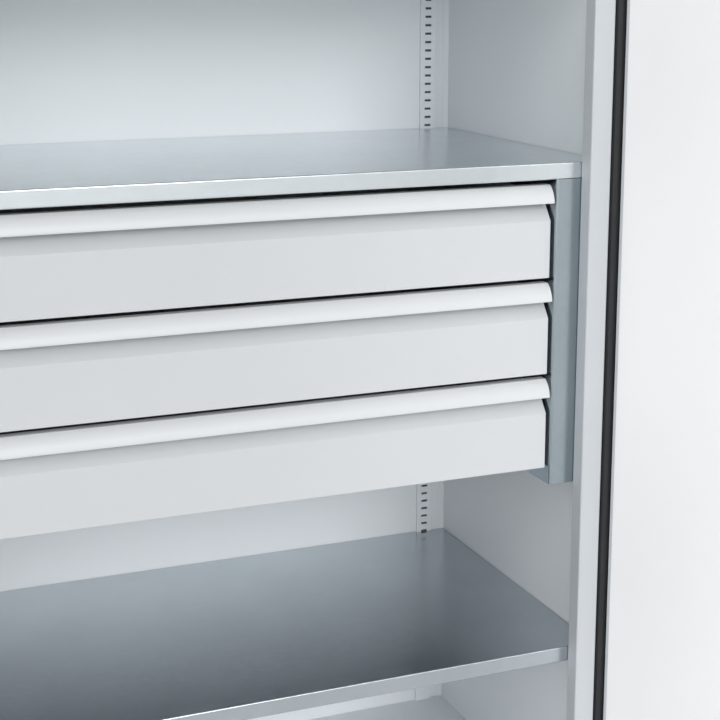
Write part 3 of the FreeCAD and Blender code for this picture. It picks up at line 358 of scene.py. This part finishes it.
def shut_box(node, placement):
    """Lowest and highest corners of a door's piece while the door is shut."""
    closing = placement.inverted()
    points = [closing @ vertex.co for vertex in frame["nodes"][node].data.vertices]
    low = [min(point[axis] for point in points) for axis in range(3)]
    high = [max(point[axis] for point in points) for axis in range(3)]
    return low, high


SCREW_RADIUS = 0.0038
SCREW_HEIGHT = 0.0022
SCREW_SOCKET = 0.0017
SCREW_INSET = 0.009
RIVETS = 7
RIVET_RADIUS = 0.0034
RIVET_HEIGHT = 0.0014
RIVET_INSET = 0.04
RIVET_FROM_EDGE = 0.009

right_turn = door_turn("right_door_hinge")
case_low, case_high = shut_box("lock_case", right_turn)
case_places = []
for screw_x in (case_low[0] + SCREW_INSET, case_high[0] - SCREW_INSET):
    for screw_z in (case_low[2] + SCREW_INSET, case_high[2] - SCREW_INSET):
        case_places.append((screw_x, case_high[1], screw_z))
case_screws = heads(
    "lock_case_screws", case_places, SCREW_RADIUS, SCREW_HEIGHT, right_turn, socket=SCREW_SOCKET
)
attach(case_screws, "right_door")

left_turn = door_turn("left_door_hinge")
edge_low, edge_high = shut_box("door_astragal", left_turn)
rivet_places = []
for rivet in range(RIVETS):
    share = rivet / (RIVETS - 1)
    rivet_z = edge_low[2] + RIVET_INSET + share * (edge_high[2] - edge_low[2] - 2 * RIVET_INSET)
    rivet_places.append((edge_low[0] + RIVET_FROM_EDGE, edge_high[1], rivet_z))
astragal_rivets = heads("astragal_rivets", rivet_places, RIVET_RADIUS, RIVET_HEIGHT, left_turn)
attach(astragal_rivets, "left_door")


# Camera
CAMERA_PLACE = (-0.6308, -2.277, 1.546)
CAMERA_YAW = math.radians(22.06)
CAMERA_PITCH = math.radians(11.39)
SENSOR_WIDTH_MM = 36
FOCAL_LENGTH_MM = 77.05
VERTICAL_SHIFT = -0.1

camera_data = bpy.data.cameras.new("camera")
camera = bpy.data.objects.new("camera", camera_data)
scene.collection.objects.link(camera)
camera_data.sensor_width = SENSOR_WIDTH_MM
camera_data.lens = FOCAL_LENGTH_MM
camera_data.shift_y = VERTICAL_SHIFT
camera.location = CAMERA_PLACE
camera.rotation_euler = (math.pi / 2 - CAMERA_PITCH, 0, -CAMERA_YAW)
scene.camera = camera


# Floor
FLOOR_REACH = 30
FLOOR_ROUGHNESS = 0.7
FLOOR = (238, 238, 238)
FLOOR_SHADE = (236, 236, 236)

floor_corners = [
    (-FLOOR_REACH, -FLOOR_REACH, 0),
    (FLOOR_REACH, -FLOOR_REACH, 0),
    (FLOOR_REACH, FLOOR_REACH, 0),
    (-FLOOR_REACH, FLOOR_REACH, 0),
]
floor_mesh = bpy.data.meshes.new("floor")
floor_mesh.from_pydata(floor_corners, [], [(0, 1, 2, 3)])
floor = bpy.data.objects.new("floor", floor_mesh)
scene.collection.objects.link(floor)
floor_material, floor_tree, floor_shader, floor_place = start_material("floor")
floor_tone = noise(floor_tree, floor_place, 1.5, detail=3.0)
floor_colour = cloudy(floor_tree, floor_tone, FLOOR_SHADE, FLOOR)
floor_tree.links.new(floor_colour, floor_shader.inputs["Base Color"])
floor_shader.inputs["Roughness"].default_value = FLOOR_ROUGHNESS
floor_mesh.materials.append(floor_material)


# Lamps: name, azimuth, elevation and apparent size in degrees, and strength
LAMPS = [
    ("front", 8, 22, 20, 0.9),
    ("front_low", -5, 14, 20, 0.45),
    ("front_left", -22, 8, 20, 0.4),
    ("left", -63, 12, 30, 0.85),
    ("high_left", -40, 32, 30, 0.35),
    ("high_front", 0, 45, 30, 0.25),
    ("right", 80, 15, 40, 1.0),
    ("rear_right", 150, 12, 40, 1.1),
    ("rear_left", -140, 12, 40, 1.1),
]


def sun_lamp(name, azimuth, elevation, size, strength):
    """Soft even light from a side: azimuth 0 is in front of the cabinet and 90 on its right."""
    data = bpy.data.lights.new(name, "SUN")
    data.angle = math.radians(size)
    data.energy = strength
    lamp = bpy.data.objects.new(name, data)
    lamp.rotation_euler = (math.radians(90 - elevation), 0, math.radians(azimuth))
    scene.collection.objects.link(lamp)


for lamp_values in LAMPS:
    sun_lamp(*lamp_values)


# World: AMBIENT lights the object, and SEEN is what the camera and the reflections show
AMBIENT = 0.25
SEEN = 0.85
WHITE = (1, 1, 1, 1)

world = bpy.data.worlds.new("studio")
scene.world = world
world.use_nodes = True
sky = world.node_tree
background = sky.nodes["Background"]
background.inputs["Color"].default_value = WHITE
background.inputs["Strength"].default_value = AMBIENT
seen = add(sky, "ShaderNodeBackground", Color=WHITE, Strength=SEEN)
rays = add(sky, "ShaderNodeLightPath")
either = add(sky, "ShaderNodeMath", operation="MAXIMUM")
sky.links.new(rays.outputs["Is Camera Ray"], either.inputs[0])
sky.links.new(rays.outputs["Is Glossy Ray"], either.inputs[1])
choice = add(sky, "ShaderNodeMixShader")
sky.links.new(either.outputs[0], choice.inputs[0])
sky.links.new(background.outputs[0], choice.inputs[1])
sky.links.new(seen.outputs[0], choice.inputs[2])
sky.links.new(choice.outputs[0], sky.nodes["World Output"].inputs["Surface"])

scene.view_settings.view_transform = "Standard"
